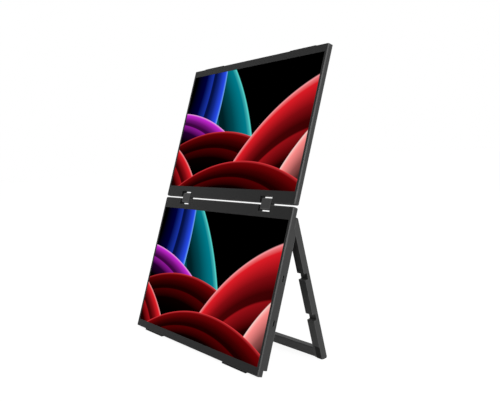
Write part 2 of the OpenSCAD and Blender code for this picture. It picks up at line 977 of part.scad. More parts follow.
leaned_back() upper() color(board_green) driver_board();
leaned_back() upper() color(steel) hinge_brackets();  // upper_hinge_brackets
leaned_back() upper() color(steel) hinge_shafts();  // upper_hinge_shafts
leaned_back() upper() color(frame_grey) cover_screws();  // upper_cover_screws
leaned_back() upper() color(rubber_black) at_feet() square_foot();  // upper_feet
leaned_back() color(cover_grey) mirror([1, 0, 0]) leg();  // leg_left
leaned_back() color(cover_grey) leg();  // leg_right
leaned_back() color(cover_grey) foot_bar();
leaned_back() color(rubber_black) both_sides() leg_pad();  // leg_pads
leaned_back() color(steel) both_sides() leg_screws();
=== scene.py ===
# %% [markdown]
# # A two-screen laptop extender
# Two flat displays stand one above the other, joined by two small hinge blocks, and lean back on a
# U-shaped stand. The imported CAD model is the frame: it says where every piece is and how it moves.
# This file gives each piece its finished surface. The plan is to measure the frame first, then to set
# the camera, write the materials, build the pieces one after another, and light them at the end.

# %% Load the frame
import json

import bmesh
import bpy
import numpy as np
from mathutils import Matrix, Vector
from mathutils.geometry import delaunay_2d_cdt


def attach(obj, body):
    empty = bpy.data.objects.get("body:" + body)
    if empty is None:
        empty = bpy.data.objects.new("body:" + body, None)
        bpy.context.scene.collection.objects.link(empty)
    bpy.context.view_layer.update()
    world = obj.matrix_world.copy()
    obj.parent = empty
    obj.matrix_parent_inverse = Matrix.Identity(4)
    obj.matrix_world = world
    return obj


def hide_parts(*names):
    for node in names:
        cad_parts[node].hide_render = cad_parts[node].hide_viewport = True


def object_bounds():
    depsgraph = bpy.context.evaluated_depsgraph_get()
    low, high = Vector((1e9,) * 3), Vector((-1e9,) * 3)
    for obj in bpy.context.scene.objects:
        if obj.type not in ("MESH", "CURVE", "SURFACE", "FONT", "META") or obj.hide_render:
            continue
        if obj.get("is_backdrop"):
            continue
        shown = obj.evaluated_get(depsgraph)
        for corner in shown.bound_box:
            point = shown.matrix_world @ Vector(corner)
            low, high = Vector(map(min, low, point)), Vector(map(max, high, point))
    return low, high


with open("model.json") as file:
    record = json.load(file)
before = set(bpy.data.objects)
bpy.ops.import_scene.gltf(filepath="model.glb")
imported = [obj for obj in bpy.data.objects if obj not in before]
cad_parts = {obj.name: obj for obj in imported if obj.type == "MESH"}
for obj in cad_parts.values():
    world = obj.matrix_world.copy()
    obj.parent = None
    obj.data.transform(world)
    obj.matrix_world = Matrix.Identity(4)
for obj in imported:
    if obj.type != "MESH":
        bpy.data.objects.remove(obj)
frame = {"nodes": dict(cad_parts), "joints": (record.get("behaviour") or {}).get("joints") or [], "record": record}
nodes = frame["nodes"]
cad_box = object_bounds()
MM = 0.001

# %% [markdown]
# ## Measuring in the displays' own directions
# The displays lean, so a box along the room's axes says little about their thickness. A `Place` is
# an origin with three axes, so each piece can be measured and modelled as if it stood upright. The
# leaning axes come from the frame itself: the two panels are mirror images, so the line between
# their middles runs exactly along the displays.


# %% Places to measure and model in
def mesh_points(node):
    """The corners of a CAD node, one row of x, y, z each."""
    mesh = nodes[node].data
    flat = np.empty(len(mesh.vertices) * 3)
    mesh.vertices.foreach_get("co", flat)
    return flat.reshape(-1, 3)


def middle(points):
    """The middle of the box around some points."""
    return (points.min(0) + points.max(0)) / 2


class Place:
    """An origin and three axes to model in. Lengths are metres, and rows are points."""

    def __init__(self, origin, axes):
        self.origin = np.asarray(origin, float)
        self.axes = np.asarray(axes, float)

    def world(self, points):
        """Room coordinates: the origin plus each coordinate times its own axis."""
        return self.origin + np.asarray(points, float) @ self.axes

    def local(self, points):
        """Coordinates in this place: the distance from the origin along each axis."""
        return (np.asarray(points, float) - self.origin) @ self.axes.T

    def measure(self, node):
        """Lowest and highest corner of a CAD node along this place's axes."""
        points = self.local(mesh_points(node))
        return points.min(0), points.max(0)


right = np.array([1.0, 0.0, 0.0])
rise = middle(mesh_points("upper_panel")) - middle(mesh_points("lower_panel"))
up = rise / np.linalg.norm(rise)
back = np.cross(up, right)
lean_place = Place([0, 0, 0], [right, back, up])
corner = lean_place.measure("lower_bezel")[0]
lower = Place(lean_place.world([0, corner[1], corner[2]]), [right, back, up])
upper_top = lower.measure("upper_bezel")[1][2]
upper = Place(lower.world([0, 0, upper_top]), [right, back, -up])
lean = np.arctan2(up[1], up[2])
print("lean: %.2f degrees, stack height: %.1f mm" % (np.degrees(lean), upper_top / MM))

# %% [markdown]
# The stand turns about its own axis. Folded flat it lies along the display, so the lower limit of
# its joint is also the angle at which it stands open now. Its place has its origin on the pivot.

# %% The stand's place
joints = {joint["name"]: joint for joint in frame["joints"]}
stand_open = -np.radians(joints["stand_hinge"]["range_deg"][0])
pivot = lower.local(joints["stand_hinge"]["pos_m"])
leg_back = lower.axes.T @ [0, np.cos(stand_open), np.sin(stand_open)]
leg_up = lower.axes.T @ [0, -np.sin(stand_open), np.cos(stand_open)]
stand = Place(lower.world([0, pivot[1], pivot[2]]), [right, leg_back, leg_up])

half_w, _, display_h = lower.measure("lower_bezel")[1]
body_t = lower.measure("upper_rear_cover")[1][1]
print("display: %.2f x %.2f x %.1f mm" % (2 * half_w / MM, display_h / MM, body_t / MM))

# %% [markdown]
# ## Camera
# The camera stands about a metre off with a normal 50 mm lens: nearer, with a wider one, the far end
# of the displays would shrink too much. It is to the right of the screens, as high as the middle of
# the upper one, and turned slightly about its own line of sight. It could be aimed with a Track To
# constraint, but a matrix from three crossed axes aims the lamps as well, and leaves nothing behind.

# %% Camera
CAMERA_AT = (0.88654, -0.55540, 0.30768)
CAMERA_AZIMUTH = np.radians(55.7711)
CAMERA_ELEVATION = np.radians(5.3318)
CAMERA_ROLL = np.radians(-3.5421)
CAMERA_LENS = 49.855
SENSOR_WIDTH = 36.0


def look_back(azimuth, elevation):
    """The direction from the object to a viewer: azimuth 0 is the front, 90 the right side.

    The azimuth's sine and cosine share out what the elevation's cosine leaves of the length.
    """
    flat = np.cos(elevation)
    return np.array([np.sin(azimuth) * flat, -np.cos(azimuth) * flat, np.sin(elevation)])


def aim(place, backwards, roll=0.0):
    """The matrix of a camera or lamp at a place, looking against `backwards`.

    Its level axis is the cross product of upwards and backwards, then turned by the roll.
    """
    level = np.cross([0, 0, 1], backwards)
    level /= np.linalg.norm(level)
    over = np.cross(backwards, level)
    turned = np.cos(roll) * level + np.sin(roll) * over
    matrix = Matrix.Identity(4)
    for column, axis in enumerate((turned, np.cross(backwards, turned), backwards, place)):
        for row in range(3):
            matrix[row][column] = axis[row]
    return matrix


camera_data = bpy.data.cameras.new("camera")
camera_data.lens = CAMERA_LENS
camera_data.sensor_width = SENSOR_WIDTH
camera = bpy.data.objects.new("camera", camera_data)
camera.matrix_world = aim(CAMERA_AT, look_back(CAMERA_AZIMUTH, CAMERA_ELEVATION), CAMERA_ROLL)
bpy.context.scene.collection.objects.link(camera)
bpy.context.scene.camera = camera
bpy.context.scene.view_settings.view_transform = "Standard"
print("camera: %.2f m from the part's origin" % np.linalg.norm(CAMERA_AT))

# %% [markdown]
# ## Writing shaders as sums
# A material is a tree of nodes, and most of them are plain arithmetic. It reads best as arithmetic,
# so `Value` wraps one output of a node and answers to + - * / with a Math node, while `Shader.node`
# adds every other kind. Only what changes over the surface is a link; all else is a plain number.


# %% Shader arithmetic
class Value:
    """One output of a node, on which sums can be done."""

    def __init__(self, shader, socket):
        self.shader = shader
        self.socket = socket

    def math(self, operation, *others):
        """A Math node of this value and the others."""
        inputs = dict(enumerate((self, *others)))
        return self.shader.node("ShaderNodeMath", {"operation": operation}, inputs)

    def __add__(self, other):
        return self.math("ADD", other)

    __radd__ = __add__

    def __mul__(self, other):
        return self.math("MULTIPLY", other)

    __rmul__ = __mul__

    def __sub__(self, other):
        return self.math("SUBTRACT", other)

    def __rsub__(self, other):
        return self * -1 + other

    def __truediv__(self, other):
        return self.math("DIVIDE", other)

    def clamp(self):
        """The value held between 0 and 1."""
        return self.math("MAXIMUM", 0.0).math("MINIMUM", 1.0)

    def smooth(self, low, high):
        """A soft step: 0 below low, 1 above high, and an S-shaped rise between them."""
        settings = {"interpolation_type": "SMOOTHSTEP"}
        inputs = {"Value": self, "From Min": low, "From Max": high}
        return self.shader.node("ShaderNodeMapRange", settings, inputs)


class Shader:
    """A material, or a world, that is being written."""

    def __init__(self, name, kind=bpy.data.materials, end="ShaderNodeOutputMaterial"):
        self.owner = kind.new(name)
        self.owner.use_nodes = True
        self.tree = self.owner.node_tree
        self.tree.nodes.clear()
        self.end = end

    def node(self, kind, settings=None, inputs=None, output=0):
        """Adds a node: its settings first, then a number, colour or Value for each socket."""
        node = self.tree.nodes.new(kind)
        for name, value in (settings or {}).items():
            if name == "stops":
                self.set_stops(node.color_ramp, value)
            else:
                setattr(node, name, value)
        for key, value in (inputs or {}).items():
            if isinstance(value, Value):
                self.tree.links.new(value.socket, node.inputs[key])
            else:
                node.inputs[key].default_value = value
        return None if output is None else Value(self, node.outputs[output])

    @staticmethod
    def set_stops(ramp, stops):
        """Gives a ramp its stops: (position, colour) pairs."""
        while len(ramp.elements) < len(stops):
            ramp.elements.new(0.5)
        for element, (position, colour) in zip(ramp.elements, stops):
            element.position = position
            element.color = (*colour, 1)

    def place(self, scale=(1, 1, 1)):
        """Object coordinates in metres, stretched by scale."""
        spot = self.node("ShaderNodeTexCoord", output=3)
        return self.node("ShaderNodeMapping", {}, {"Vector": spot, "Scale": scale})

    def noise(self, size, detail=2.0, scale=(1, 1, 1)):
        """Noise from 0 to 1 whose patches are about `size` metres wide."""
        inputs = {"Vector": self.place(scale), "Scale": 1 / size, "Detail": detail}
        return self.node("ShaderNodeTexNoise", {}, inputs)

    def edge(self):
        """How much painted highlight and rubbing the surface gets here, from 0 to 1, as the mesh says."""
        return self.node("ShaderNodeAttribute", {"attribute_name": "edge"}, output=2)

    def vector(self, operation, first, second=(0, 0, 0), output=0):
        """A Vector Math node. Its lengths and dot products come out of output 1."""
        settings = {"operation": operation}
        return self.node("ShaderNodeVectorMath", settings, {0: first, 1: second}, output)

    def mix(self, factor, first, second):
        """A colour between two colours. Sockets 6, 7 and output 2 are the node's colour ones."""
        return self.node("ShaderNodeMix", {"data_type": "RGBA"}, {0: factor, 6: first, 7: second}, 2)

    def bump(self, height, depth):
        """A normal tilted by a height map, `depth` metres deep."""
        return self.node("ShaderNodeBump", {}, {"Height": height, "Distance": depth})

    def finish(self, **sockets):
        """Ends the material in a Principled shader. Underscores stand for spaces."""
        inputs = {key.replace("_", " "): value for key, value in sockets.items()}
        return self.close(self.node("ShaderNodeBsdfPrincipled", {}, inputs))

    def close(self, surface):
        """Links a surface to the output, and returns the material or world."""
        self.node(self.end, {}, {"Surface": surface}, output=None)
        print("%s: %d shader nodes" % (self.owner.name, len(self.tree.nodes)))
        return self.owner


def grey(level, warmth=0.0):
    """A nearly neutral colour of a brightness, as a socket takes it."""
    return (level * (1 + warmth), level, level * (1 - warmth), 1)


# %% [markdown]
# ## Plastics
# The casing is dark grey moulded plastic. Its mould was spark-eroded, which leaves a field of tiny
# round pits less than half a millimetre apart. They are too small to see one by one, but they
# spread the highlights, so the finish is built from them: cells for the pits, a finer noise for the
# grain between them, and a slow change of gloss where the plastic cooled unevenly. A plain colour
# would be quicker, but looks like paint on card as soon as the light slides along it.
#
# The edges are painted lighter in the base colour, which is a painted highlight. They are also made smoother
# and given a thin coat, as rubbed edges are. A Geometry node's pointiness would find them, but not in
# every renderer. Here each mesh says for itself, in an attribute named `edge`, how much painted
# highlight and rubbing it gets.

# %% Moulded plastic
# how much lighter the edges are painted: a painted highlight
EDGE_PAINTED_HIGHLIGHT = 0.65
EDGE_SMOOTHER = 0.16
EDGE_POLISH = 0.55


def moulded_plastic(name, level, gloss, shine=0.2, pit=0.38 * MM, depth=0.02 * MM):
    """Dark plastic out of a spark-eroded mould.

    Colour, roughness and bump are sums of the pits, the grain and the slow flow, and each changes
    with the edge mask: the colour is painted lighter there as a highlight, and the surface is smoother.
    """
    shader = Shader(name)
    cells = shader.node("ShaderNodeTexVoronoi", {"feature": "SMOOTH_F1"},
                        {"Vector": shader.place(), "Scale": 1 / pit, "Smoothness": 0.6})
    grain = shader.noise(pit / 2.5, detail=3.0)
    flow = shader.noise(60 * MM, detail=1.0)
    edge = shader.edge()
    height = (cells * 0.7 + grain * 0.5) * (1 - edge * 0.8)
    # the edge term makes the edges lighter: a painted highlight
    tone_and_highlight = (cells * 0.11 + grain * 0.08 + flow * 0.07 + edge * EDGE_PAINTED_HIGHLIGHT).clamp()
    return shader.finish(
        Base_Color=shader.mix(tone_and_highlight, grey(level * 0.8), grey(level * 2.8)),
        Roughness=flow * 0.08 + grain * 0.1 + (gloss - 0.09) - edge * EDGE_SMOOTHER,
        Specular_IOR_Level=shine,
        Coat_Weight=edge * EDGE_POLISH,
        Coat_Roughness=0.65,
        Normal=shader.bump(height, depth),
    )


bezel_plastic = moulded_plastic("bezel_plastic", 0.030, gloss=0.46, shine=0.06)
cover_plastic = moulded_plastic("cover_plastic", 0.040, gloss=0.50)
stand_plastic = moulded_plastic("stand_plastic", 0.048, gloss=0.52)
key_plastic = moulded_plastic("key_plastic", 0.040, gloss=0.38, pit=0.2 * MM, depth=0.006 * MM)

# %% [markdown]
# ## Rubber and metal
# Rubber is darker and duller, with a coarser grain and a trace of dust. The hinge blocks and ears
# are metal under satin paint, which pulls into a faint orange peel as it dries. Turned steel has
# fine rings round its axis, and rolled sheet has long marks along its length. Both are the same
# noise, stretched across X for the rings and along X for the marks. A wave texture would give rings
# too, but they would all be alike.


# %% Rubber, paint and steel
def rubber(name):
    """Matt black rubber with an even grain and a little dust."""
    shader = Shader(name)
    grain = shader.noise(0.3 * MM, detail=4.0)
    dust = shader.noise(6 * MM, detail=3.0).smooth(0.52, 0.78)
    return shader.finish(
        Base_Color=shader.mix(dust * 0.5 + grain * 0.2, grey(0.006), grey(0.016, 0.03)),
        Roughness=dust * 0.12 + 0.72,
        Specular_IOR_Level=0.15,
        Normal=shader.bump(grain, 0.03 * MM),
    )


def satin_paint(name, level, shine=0.3):
    """Satin grey paint on metal, with orange peel, glossier on its edges and painted lighter there as a highlight.
    """
    shader = Shader(name)
    peel = shader.noise(0.9 * MM, detail=1.0)
    speck = shader.noise(0.15 * MM, detail=2.0)
    edge = shader.edge()
    # the edge term makes the edges lighter: a painted highlight
    tone_and_highlight = (speck * 0.4 + edge * 0.6).clamp()
    return shader.finish(
        Base_Color=shader.mix(tone_and_highlight, grey(level * 0.85), grey(level * 1.5)),
        Roughness=peel * 0.14 + 0.33,
        Specular_IOR_Level=shine,
        Coat_Weight=edge * 0.6 + 0.05,
        Coat_Roughness=0.25,
        Normal=shader.bump(peel + speck * 0.25, 0.012 * MM),
    )


def turned_steel(name, level, rough=0.28, ring=0.08 * MM):
    """Bare steel with fine rings round X, and a slight stain."""
    shader = Shader(name)
    rings = shader.noise(ring, detail=2.0, scale=(1, 0.04, 0.04))
    stain = shader.noise(3 * MM, detail=3.0)
    return shader.finish(
        Base_Color=shader.mix(stain * 0.6 + rings * 0.4, grey(level * 0.8, 0.01), grey(level, 0.01)),
        Metallic=1.0,
        Roughness=rings * 0.16 + stain * 0.08 + (rough - 0.1),
        Normal=shader.bump(rings, 0.004 * MM),
    )


def rolled_sheet(name, level):
    """Thin metal sheet with long rolling marks along X."""
    shader = Shader(name)
    marks = shader.noise(0.25 * MM, detail=3.0, scale=(0.02, 1, 1))
    cloud = shader.noise(14 * MM, detail=3.0)
    return shader.finish(
        Base_Color=shader.mix(marks * 0.5 + cloud * 0.5, grey(level * 0.8), grey(level)),
        Metallic=1.0,
        Roughness=marks * 0.2 + cloud * 0.12 + 0.2,
        Normal=shader.bump(marks, 0.005 * MM),
    )


# %% Rubber and metals of this part
black_rubber = rubber("rubber")
hinge_paint = satin_paint("hinge_metal", 0.042, shine=0.15)
ear_paint = satin_paint("ear_metal", 0.045)
plain_steel = turned_steel("steel", 0.45)
black_steel = turned_steel("black_screws", 0.06, rough=0.4)
socket_nickel = turned_steel("socket_metal", 0.09, rough=0.42)
tray_sheet = rolled_sheet("tray_metal", 0.6)

# %% [markdown]
# ## What is inside
# The light guide, its LEDs and the boards hardly ever show, yet each gets its own finish. A light
# guide is clear acrylic with rows of printed white dots, an LED strip is white laminate with yellow
# phosphor, and a board is green lacquer over copper tracks. Each could be a picture on a UV map, but
# cells, noise and bricks on the piece's own coordinates give the same marks and need no map.


# %% Inner materials
DOT_PITCH = 1.2 * MM
TRACK_PITCH = 6 * MM


def dotted_acrylic(name):
    """Clear acrylic with a grid of printed dots that scatter the light."""
    shader = Shader(name)
    cells = shader.node("ShaderNodeTexVoronoi", {"feature": "F1"},
                        {"Vector": shader.place(), "Scale": 1 / DOT_PITCH, "Randomness": 0.15})
    dots = 1 - cells.smooth(0.22, 0.3)
    return shader.finish(
        Base_Color=shader.mix(dots, (0.75, 0.82, 0.86, 1), (0.95, 0.95, 0.95, 1)),
        Roughness=dots * 0.5 + 0.08,
        Normal=shader.bump(dots, 0.02 * MM),
    )


def led_strip(name):
    """White laminate whose LEDs have yellow phosphor windows."""
    shader = Shader(name)
    blotch = shader.noise(2.5 * MM, detail=0.0).smooth(0.5, 0.6)
    return shader.finish(
        Base_Color=shader.mix(blotch, (0.85, 0.85, 0.82, 1), (0.8, 0.62, 0.12, 1)),
        Roughness=blotch * -0.2 + 0.5,
    )


def circuit_board(name):
    """Green lacquer over copper tracks, with the ground plane's hatch."""
    shader = Shader(name)
    bricks = {"Vector": shader.place(), "Scale": 1 / TRACK_PITCH, "Mortar Size": 0.03}
    tracks = shader.node("ShaderNodeTexBrick", {"offset": 0.5}, bricks, output=1)
    cloud = shader.noise(8 * MM, detail=2.0)
    copper = (tracks * 0.7 + cloud.smooth(0.5, 0.55) * 0.3).clamp()
    return shader.finish(
        Base_Color=shader.mix(copper, (0.008, 0.09, 0.035, 1), (0.03, 0.2, 0.08, 1)),
        Roughness=copper * 0.1 + 0.3,
        Normal=shader.bump(copper, 0.03 * MM),
    )


light_guide_acrylic = dotted_acrylic("light_guide")
led_laminate = led_strip("led")
board_green = circuit_board("circuit_board")

# %% [markdown]
# ## The lit picture
# The screens are on. Their picture is a plain abstract one: big round sheets that overlap like
# plates in a rack. Each has a thin bright rim that falls off into the dark, and a fold further in,
# where its colour glows a second time. The glow is wider at one end of the sheet than at the other,
# and fades as the sheet turns away from its light. A sheet needs only its centre, radius and
# colours: the distance to its rim picks a colour from a ramp, two dot products say how far it faces
# its light and how far it runs across it, and a soft step lays it over the sheets behind it. An
# image would be simpler, but would be sharp at one distance only. The picture is drawn on the
# screen's own UV map, in units of the screen's height.

# %% Colours of the picture: rim, glow just inside it, and shade further in
TEAL = ((0.12, 0.80, 0.72), (0.00, 0.20, 0.26), (0.00, 0.012, 0.03))
BLUE = ((0.20, 0.50, 1.00), (0.02, 0.07, 0.80), (0.00, 0.00, 0.05))
VIOLET = ((1.00, 0.50, 0.90), (0.55, 0.02, 0.62), (0.02, 0.00, 0.03))
RED = ((1.00, 0.40, 0.42), (0.75, 0.012, 0.02), (0.02, 0.00, 0.00))
SALMON = ((1.00, 0.75, 0.70), (0.98, 0.26, 0.25), (0.06, 0.00, 0.003))
EMBER = ((0.85, 0.05, 0.06), (0.16, 0.001, 0.002), (0.004, 0.00, 0.00))

# %% Picture on the screens
WIDTH_TO_HEIGHT = 16 / 9
# centre x and y, radius, colours, depth of the glow, direction of its light in degrees
SHEETS = [
    (-1.05, -0.75, 2.45, TEAL, 0.85, 40),
    (-1.40, 0.75, 1.95, BLUE, 0.50, 5),
    (-0.20, -1.45, 2.12, VIOLET, 0.30, 68),
    (0.62, -1.55, 2.02, EMBER, 0.45, 62),
    (2.35, -0.85, 1.78, RED, 0.62, 135),
    (-0.62, -0.95, 1.42, RED, 0.40, 45),
    (2.75, -0.60, 1.42, SALMON, 0.52, 155),
    (1.05, -1.80, 2.02, EMBER, 0.30, 92),
]
RIM = 0.018               # width of the bright rim, as a share of the glow's depth
FOLD = 0.42               # where the fold lies, as the same share
DIM = 0.08                # what is left of the glow just outside the fold, and away from the light
TAPER = 0.9               # how much narrower the glow gets towards one end
LIT_FROM = 0.35           # how far a sheet must face its light before it shows
SOFT_EDGE = 0.006         # half the width of the step from one sheet to the next


def sheet_stops(colours):
    """Stops of a sheet's ramp from its rim inwards: rim, glow, dark, fold, glow again, shade."""
    rim, glow, shade = np.array(colours)
    return [
        (0.0, rim), (RIM, 0.6 * glow + 0.4 * rim), (3 * RIM, glow), (0.22, 0.32 * glow),
        (FOLD - 0.07, DIM * glow), (FOLD, DIM * glow), (FOLD + 0.02, 0.5 * glow),
        (FOLD + 0.25, shade), (1.0, 0 * shade),
    ]


def round_sheet(shader, spot, behind, x, y, radius, colours, depth, light):
    """Lays one disc over the picture behind it.

    The way in from its rim is the radius less the distance from its centre, over the depth of the
    glow. It is stretched by how far the spot runs across the light, and picks the colour. The
    colour fades with how far the spot faces the light.
    """
    offset = shader.vector("SUBTRACT", spot, (x, y, 0))
    distance = shader.vector("LENGTH", offset, output=1)
    cos, sin = np.cos(np.radians(light)), np.sin(np.radians(light))
    facing, across = [shader.vector("DOT_PRODUCT", offset, along, output=1) / radius
                      for along in ((cos, sin, 0), (-sin, cos, 0))]
    way_in = (radius - distance) / depth * (across * TAPER + 1)
    colour = shader.node("ShaderNodeValToRGB", {"stops": sheet_stops(colours)}, {0: way_in})
    lit = facing.smooth(LIT_FROM, 1.0) * (1 - DIM) + DIM
    covers = way_in.smooth(-SOFT_EDGE, SOFT_EDGE)
    return shader.mix(covers, behind, shader.mix(lit, (0, 0, 0, 1), colour))


def lit_picture(name):
    """The screen: a black panel that gives off its picture."""
    shader = Shader(name)
    uv = shader.node("ShaderNodeUVMap", {"uv_map": "screen"})
    spot = shader.node("ShaderNodeMapping", {}, {"Vector": uv, "Scale": (WIDTH_TO_HEIGHT, 1, 1)})
    picture = (0, 0, 0, 1)
    for sheet in SHEETS:
        picture = round_sheet(shader, spot, picture, *sheet)
    return shader.finish(
        Base_Color=(0.0, 0.0, 0.0, 1),
        Roughness=0.4,
        Specular_IOR_Level=0.0,
        Emission_Color=picture,
        Emission_Strength=1.0,
    )


screen_picture = lit_picture("screen")

# %% [markdown]
# ## Outlines and edges
# Nearly every piece here is a plate or a bar: an outline carried through a depth, with its edges
# broken. So one tool makes them all. `rounded` turns a polygon into an outline whose corners are
# arcs. `plate` carries rings of that outline through the depth, each drawn in by its own inset,
# which makes bevels and round edges, and closes the ends with flat caps. Holes are outlines that
# run the other way round. A Boolean of boxes would be shorter, but leaves knife-sharp edges, and
# it is the small highlight on each edge that tells the eye that plastic is plastic.


# %% Outlines
ARC_STEPS = 7


def rounded(corners, radii, steps=ARC_STEPS):
    """Outline of a polygon with arcs for corners.

    Each arc touches both sides of its corner, so its centre lies on the bisector, at the radius
    over the sine of half the angle. Returns the points, each point's corner, and how far it is
    along that corner's arc, from 0 to 1.
    """
    corners = np.asarray(corners, float)
    radii = np.broadcast_to(np.asarray(radii, float), len(corners))
    before = np.roll(corners, 1, 0) - corners
    after = np.roll(corners, -1, 0) - corners
    before /= np.linalg.norm(before, axis=1, keepdims=True)
    after /= np.linalg.norm(after, axis=1, keepdims=True)
    half_angle = np.arccos(np.clip((before * after).sum(1), -1, 1)) / 2
    bisector = before + after
    bisector /= np.linalg.norm(bisector, axis=1, keepdims=True)
    centres = corners + bisector * (radii / np.sin(half_angle))[:, None]
    reach = (radii / np.tan(half_angle))[:, None]
    first = corners + before * reach - centres
    last = corners + after * reach - centres
    start = np.arctan2(first[:, 1], first[:, 0])
    sweep = np.arctan2(last[:, 1], last[:, 0]) - start
    sweep = (sweep + np.pi) % (2 * np.pi) - np.pi
    along = np.linspace(0, 1, steps)
    angle = start[:, None] + sweep[:, None] * along
    arcs = centres[:, None] + radii[:, None, None] * np.stack([np.cos(angle), np.sin(angle)], -1)
    which = np.repeat(np.arange(len(corners)), steps)
    return arcs.reshape(-1, 2), which, np.tile(along, len(corners))


def rectangle(low, high, radius):
    """Outline of a rectangle with arcs for corners, with its inside on the left."""
    corners = [(low[0], low[1]), (high[0], low[1]), (high[0], high[1]), (low[0], high[1])]
    return rounded(corners, radius)[0]


def circle(centre, radius, steps=40):
    """Outline of a disc: the centre, plus the radius times a full turn's cosine and sine."""
    turn = np.linspace(0, 2 * np.pi, steps, endpoint=False)
    return np.asarray(centre) + radius * np.stack([np.cos(turn), np.sin(turn)], 1)


def inwards(outline):
    """At each point, the step that moves both its sides 1 m into the solid, which is on the left.

    It is the bisector of the two sides' left normals, over its own share of either normal.
    """
    ahead = np.roll(outline, -1, 0) - outline
    ahead /= np.linalg.norm(ahead, axis=1, keepdims=True)
    left = np.stack([-ahead[:, 1], ahead[:, 0]], 1)
    both = left + np.roll(left, 1, 0)
    both /= np.linalg.norm(both, axis=1, keepdims=True)
    return both / (both * left).sum(1, keepdims=True)


# %% [markdown]
# An edge's shape is a list of steps: how far the ring is drawn in, how deep it lies, and how much
# painted highlight and rubbing it gets. A quarter round is a circle's arc, and a plate has one at
# each end. The flat ends are filled with triangles that keep to the rings, which a single many-sided
# face round a hole couldn't do.


# %% Edge profiles
def round_edges(low, high, radius, length=None, steps=5):
    """Steps of (inset, depth, edge) from one face of a plate to the other, with quarter rounds.

    As t goes through a quarter turn, the inset is the radius times 1 - sin t, and the depth the
    radius times 1 - cos t. Where a length is given, the depth is that length times 1 - cos t, so
    the edge is a quarter of an ellipse. Its painted highlight and rubbing are strongest in its middle,
    by sin 2t.
    """
    turn = np.linspace(0, np.pi / 2, steps)
    inset = radius * (1 - np.sin(turn))
    drop = (length or radius) * (1 - np.cos(turn))
    # edge mask: painted highlight and rubbing, strongest mid-edge
    rubbed_and_highlit = np.sin(2 * turn)
    front = np.stack([inset, low + drop, rubbed_and_highlit], 1)
    rear = np.stack([inset, high - drop, rubbed_and_highlit], 1)[::-1]
    return np.concatenate([front, rear])


def cap(rings):
    """Triangles that fill the flat area between closed rings.

    A line drawn from a triangle's middle towards +x crosses the rings an odd number of times if
    the triangle is part of the solid, and an even number of times if it lies in a hole or outside.
    The points are joined in millimetres, because the tolerance suits numbers near 1.
    """
    points = np.concatenate(rings)
    start = np.cumsum([0] + [len(ring) for ring in rings])
    edges = [np.stack([np.arange(a, b), np.roll(np.arange(a, b), -1)], 1)
             for a, b in zip(start[:-1], start[1:])]
    edges = np.concatenate(edges)
    in_mm = [Vector(point) for point in points * (1 / MM)]
    found = delaunay_2d_cdt(in_mm, edges.tolist(), [], 1, 1e-7)
    source = np.array([group[0] for group in found[3]])
    triangles = source[np.array(found[2])]
    centres = points[triangles].mean(1)
    a, b = points[edges[:, 0]], points[edges[:, 1]]
    y = centres[:, 1:2]
    spans = (a[:, 1] > y) != (b[:, 1] > y)
    height = np.where(b[:, 1] == a[:, 1], 1.0, b[:, 1] - a[:, 1])
    cross = a[:, 0] + (y - a[:, 1]) * (b[:, 0] - a[:, 0]) / height
    odd = (spans & (centres[:, 0:1] < cross)).sum(1) % 2 == 1
    return triangles[odd]


# %% [markdown]
# Every new mesh passes through `make`, which places it in the room, turns all its faces outwards,
# keeps the real edges sharp and weights the normals by area, so that flat faces shade as flat and
# the narrow rounds between them take the whole turn of the light. A Bevel modifier could round the
# edges as well, but can't give one side of a frame another edge than the next.

# %% From arrays to objects
SHARP = np.radians(38)    # edges sharper than this keep a crease
WELD = 0.0001 * MM        # points closer than this are one point


def shade(thing, sharp=SHARP):
    """Smooth shading that stays flat on flat faces."""
    mesh = thing.data
    mesh.shade_smooth()
    mesh.set_sharp_from_angle(angle=sharp)
    weigh = thing.modifiers.new("weighted normals", "WEIGHTED_NORMAL")
    weigh.keep_sharp = True
    return thing


def make(name, points, faces, place, material, body, replaced):
    """A named object from arrays of points and faces, finished and riding on its body.

    A fourth column of the points says how much painted highlight and rubbing each gets as part of
    an edge, from 0 to 1.
    """
    mesh = bpy.data.meshes.new(name)
    mesh.from_pydata(place.world(points[:, :3]).tolist(), [], faces)
    mesh.attributes.new("edge", "FLOAT", "POINT").data.foreach_set("value", points[:, 3])
    work = bmesh.new()
    work.from_mesh(mesh)
    bmesh.ops.remove_doubles(work, verts=work.verts, dist=WELD)
    bmesh.ops.dissolve_degenerate(work, edges=work.edges, dist=WELD)
    bmesh.ops.recalc_face_normals(work, faces=work.faces)
    work.to_mesh(mesh)
    work.free()
    thing = bpy.data.objects.new(name, mesh)
    bpy.context.scene.collection.objects.link(thing)
    return dress(shade(thing), material, body, replaced)


def dress(thing, material, body, replaced):
    """Gives an object its material and body, and hides the nodes that it stands for."""
    thing.data.materials.clear()
    thing.data.materials.append(material)
    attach(thing, body)
    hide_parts(*replaced)
    print("%s: %d faces, rides on %s" % (thing.name, len(thing.data.polygons), body))
    return thing


# %% Plates
FACING = (0, 2, 1)        # outline in x and z, depth along y
SIDEWAYS = (1, 2, 0)      # outline in y and z, depth along x


